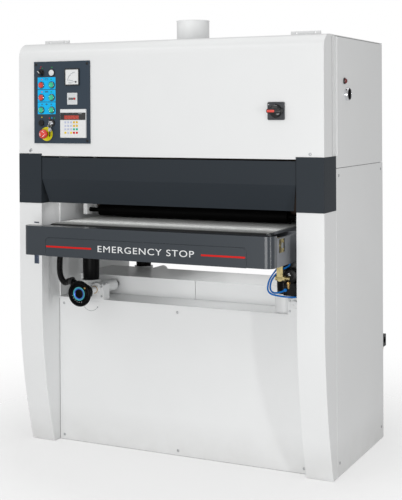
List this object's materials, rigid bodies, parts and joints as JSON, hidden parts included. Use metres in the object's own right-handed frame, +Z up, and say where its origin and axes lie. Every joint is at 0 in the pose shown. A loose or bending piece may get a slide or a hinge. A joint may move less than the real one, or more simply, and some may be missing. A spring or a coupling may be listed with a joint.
{
  "type": "wide_belt_sander",
  "caption": "Wide belt sander for boards: white casing, conveyor table on four jack screws, wide abrasive belt over a drum, control panel",
  "frame": {"origin": "on the floor under the middle of the casing, on the lower face of the middle floor rail", "axes": "+X to the right-hand side seen from the infeed, +Y from infeed to outfeed, +Z up"},
  "size_m": [1.42, 1.05, 1.834],
  "materials": {
    "white_paint": "satin",
    "frame_grey": "satin",
    "dark_grey_paint": "satin",
    "panel_blue_grey": "matt",
    "motor_grey": "satin",
    "black_plastic": "matt",
    "meter_plastic": "matt",
    "red_plastic": "gloss",
    "green_plastic": "gloss",
    "blue_tube": "gloss",
    "bright_steel": "ground",
    "zinc_plate": "yellow zinc",
    "chrome": "polished",
    "cast_grey": "painted",
    "black_rubber": "matt",
    "grey_rubber": "rough top",
    "abrasive_cloth": "abrasive grain"
  },
  "bodies": {
    "machine": {"base_frame": "frame_grey", "deck_covers": "white_paint", "side_frames": "white_paint", "casing_panels": "white_paint", "front_cover": "white_paint", "roof_panel": "white_paint", "leg_covers": "white_paint", "beam_caps": "dark_grey_paint", "lower_front_panel": "white_paint", "dust_port": "white_paint", "lifting_brackets": "white_paint", "control_panel": "panel_blue_grey", "panel_meters": "meter_plastic", "thickness_controller": "meter_plastic", "switch_plates": "chrome", "head_beam": "white_paint", "drum_bearings": "cast_grey", "main_motor": "motor_grey", "drive_belts": "black_rubber", "jack_gearboxes": "white_paint", "lift_encoder": "black_plastic", "lift_chain": "bright_steel", "air_regulator": "black_plastic", "panel_screws": "bright_steel", "lift_conduit": "black_rubber", "abrasive_belt": "abrasive_cloth", "screw_boots": "black_rubber"},
    "table": {"table_frame": "frame_grey", "feed_belt": "grey_rubber", "front_bar": "dark_grey_paint", "take_up_blocks": "zinc_plate", "jack_screws": "bright_steel", "feed_drive": "motor_grey", "air_valve": "black_plastic", "air_tube_upper": "blue_tube", "air_tube_lower": "blue_tube"},
    "drive_roller": {"feed_drive_roller": "black_rubber"},
    "idler_roller": {"feed_idler_roller": "bright_steel"},
    "push_plate": {"estop_push_plate": "dark_grey_paint"},
    "drum": {"contact_drum": "black_rubber"},
    "yoke": {"tension_yoke": "frame_grey"},
    "top_roller": {"tension_roller": "bright_steel"},
    "motor_shaft": {"motor_pulley": "cast_grey"},
    "infeed_roller": {"infeed_pressure_roller": "black_rubber"},
    "outfeed_roller": {"outfeed_pressure_roller": "black_rubber"},
    "door": {"right_upper_door": "white_paint"},
    "belt_tension_knob": {"tension_selector": "black_plastic"},
    "hood": {"infeed_hood": "dark_grey_paint"},
    "isolator_knob": {"isolator_handle": "black_plastic"},
    "mode_knob": {"mode_selector": "black_plastic"},
    "key": {"key_switch": "chrome"},
    "stop_mushroom": {"estop_button": "red_plastic"},
    "sanding_stop": {"sanding_stop_button": "red_plastic"},
    "sanding_start": {"sanding_start_button": "green_plastic"},
    "feed_stop": {"feed_stop_button": "red_plastic"},
    "feed_start": {"feed_start_button": "green_plastic"},
    "table_up": {"table_up_button": "green_plastic"},
    "table_down": {"table_down_button": "green_plastic"},
    "left_shaft": {"handwheel": "black_plastic"},
    "right_shaft": {"right_lift_shaft": "bright_steel"}
  },
  "joints": [
    {"name": "table_lift", "type": "slide", "parent": "machine", "child": "table", "axis": [0, 0, 1], "range_m": [-0.075, 0.004], "deforming": ["screw_boots", "lift_conduit"]},
    {"name": "left_shaft_spin", "type": "hinge", "parent": "machine", "child": "left_shaft", "pos_m": [-0.392, 0, 0.675], "axis": [0, 1, 0], "continuous": true},
    {"name": "right_shaft_spin", "type": "hinge", "parent": "machine", "child": "right_shaft", "pos_m": [0.532, 0, 0.675], "axis": [0, 1, 0], "continuous": true},
    {"name": "feed_drive_spin", "type": "hinge", "parent": "table", "child": "drive_roller", "pos_m": [0, 0.45, 0.9304], "axis": [1, 0, 0], "continuous": true},
    {"name": "feed_idler_spin", "type": "hinge", "parent": "table", "child": "idler_roller", "pos_m": [0, -0.44, 0.9304], "axis": [1, 0, 0], "continuous": true},
    {"name": "push_plate_stop", "type": "slide", "parent": "table", "child": "push_plate", "axis": [0, 1, 0], "range_m": [0, 0.008], "stiffness_N_per_m": 3000},
    {"name": "drum_spin", "type": "hinge", "parent": "machine", "child": "drum", "pos_m": [0, 0, 1.0848], "axis": [1, 0, 0], "continuous": true},
    {"name": "belt_tension", "type": "slide", "parent": "machine", "child": "yoke", "axis": [0, 0, 1], "range_m": [-0.025, 0], "deforming": ["abrasive_belt"]},
    {"name": "top_roller_spin", "type": "hinge", "parent": "yoke", "child": "top_roller", "pos_m": [0, 0, 1.5848], "axis": [1, 0, 0], "continuous": true},
    {"name": "motor_spin", "type": "hinge", "parent": "machine", "child": "motor_shaft", "pos_m": [-0.6, 0.1, 0.211], "axis": [1, 0, 0], "continuous": true},
    {"name": "infeed_roller_spin", "type": "hinge", "parent": "machine", "child": "infeed_roller", "pos_m": [0, -0.115, 1.007], "axis": [1, 0, 0], "continuous": true},
    {"name": "outfeed_roller_spin", "type": "hinge", "parent": "machine", "child": "outfeed_roller", "pos_m": [0, 0.115, 1.007], "axis": [1, 0, 0], "continuous": true},
    {"name": "door_hinge", "type": "hinge", "parent": "machine", "child": "door", "pos_m": [0.69, 0.367, 1.45], "axis": [0, 0, 1], "range_deg": [0, 110]},
    {"name": "tension_select", "type": "hinge", "parent": "door", "child": "belt_tension_knob", "pos_m": [0.7, -0.112, 1.51], "axis": [1, 0, 0], "range_deg": [0, 90]},
    {"name": "hood_swing", "type": "hinge", "parent": "machine", "child": "hood", "pos_m": [0, -0.366, 1.232], "axis": [-1, 0, 0], "range_deg": [0, 35]},
    {"name": "isolator_turn", "type": "hinge", "parent": "machine", "child": "isolator_knob", "pos_m": [0.505, -0.38, 1.443], "axis": [0, 1, 0], "range_deg": [0, 90]},
    {"name": "mode_turn", "type": "hinge", "parent": "machine", "child": "mode_knob", "pos_m": [-0.58, -0.386, 1.612], "axis": [0, 1, 0], "range_deg": [0, 90]},
    {"name": "key_turn", "type": "hinge", "parent": "machine", "child": "key", "pos_m": [-0.527, -0.386, 1.397], "axis": [0, 1, 0], "range_deg": [0, 90]},
    {"name": "stop_press", "type": "slide", "parent": "machine", "child": "stop_mushroom", "axis": [0, 1, 0], "range_m": [0, 0.0045], "stiffness_N_per_m": 800},
    {"name": "sanding_stop_press", "type": "slide", "parent": "machine", "child": "sanding_stop", "axis": [0, 1, 0], "range_m": [0, 0.004], "stiffness_N_per_m": 400},
    {"name": "sanding_start_press", "type": "slide", "parent": "machine", "child": "sanding_start", "axis": [0, 1, 0], "range_m": [0, 0.004], "stiffness_N_per_m": 400},
    {"name": "feed_stop_press", "type": "slide", "parent": "machine", "child": "feed_stop", "axis": [0, 1, 0], "range_m": [0, 0.004], "stiffness_N_per_m": 400},
    {"name": "feed_start_press", "type": "slide", "parent": "machine", "child": "feed_start", "axis": [0, 1, 0], "range_m": [0, 0.004], "stiffness_N_per_m": 400},
    {"name": "table_up_press", "type": "slide", "parent": "machine", "child": "table_up", "axis": [0, 1, 0], "range_m": [0, 0.004], "stiffness_N_per_m": 400},
    {"name": "table_down_press", "type": "slide", "parent": "machine", "child": "table_down", "axis": [0, 1, 0], "range_m": [0, 0.004], "stiffness_N_per_m": 400}
  ],
  "couplings": [
    {"joint": "left_shaft_spin", "follows": "table_lift", "rad_per_m": 785.4},
    {"joint": "right_shaft_spin", "follows": "table_lift", "rad_per_m": 785.4},
    {"joint": "feed_idler_spin", "follows": "feed_drive_spin", "ratio": 1},
    {"joint": "top_roller_spin", "follows": "drum_spin", "ratio": 1.6667},
    {"joint": "motor_spin", "follows": "drum_spin", "ratio": 0.88571}
  ]
}
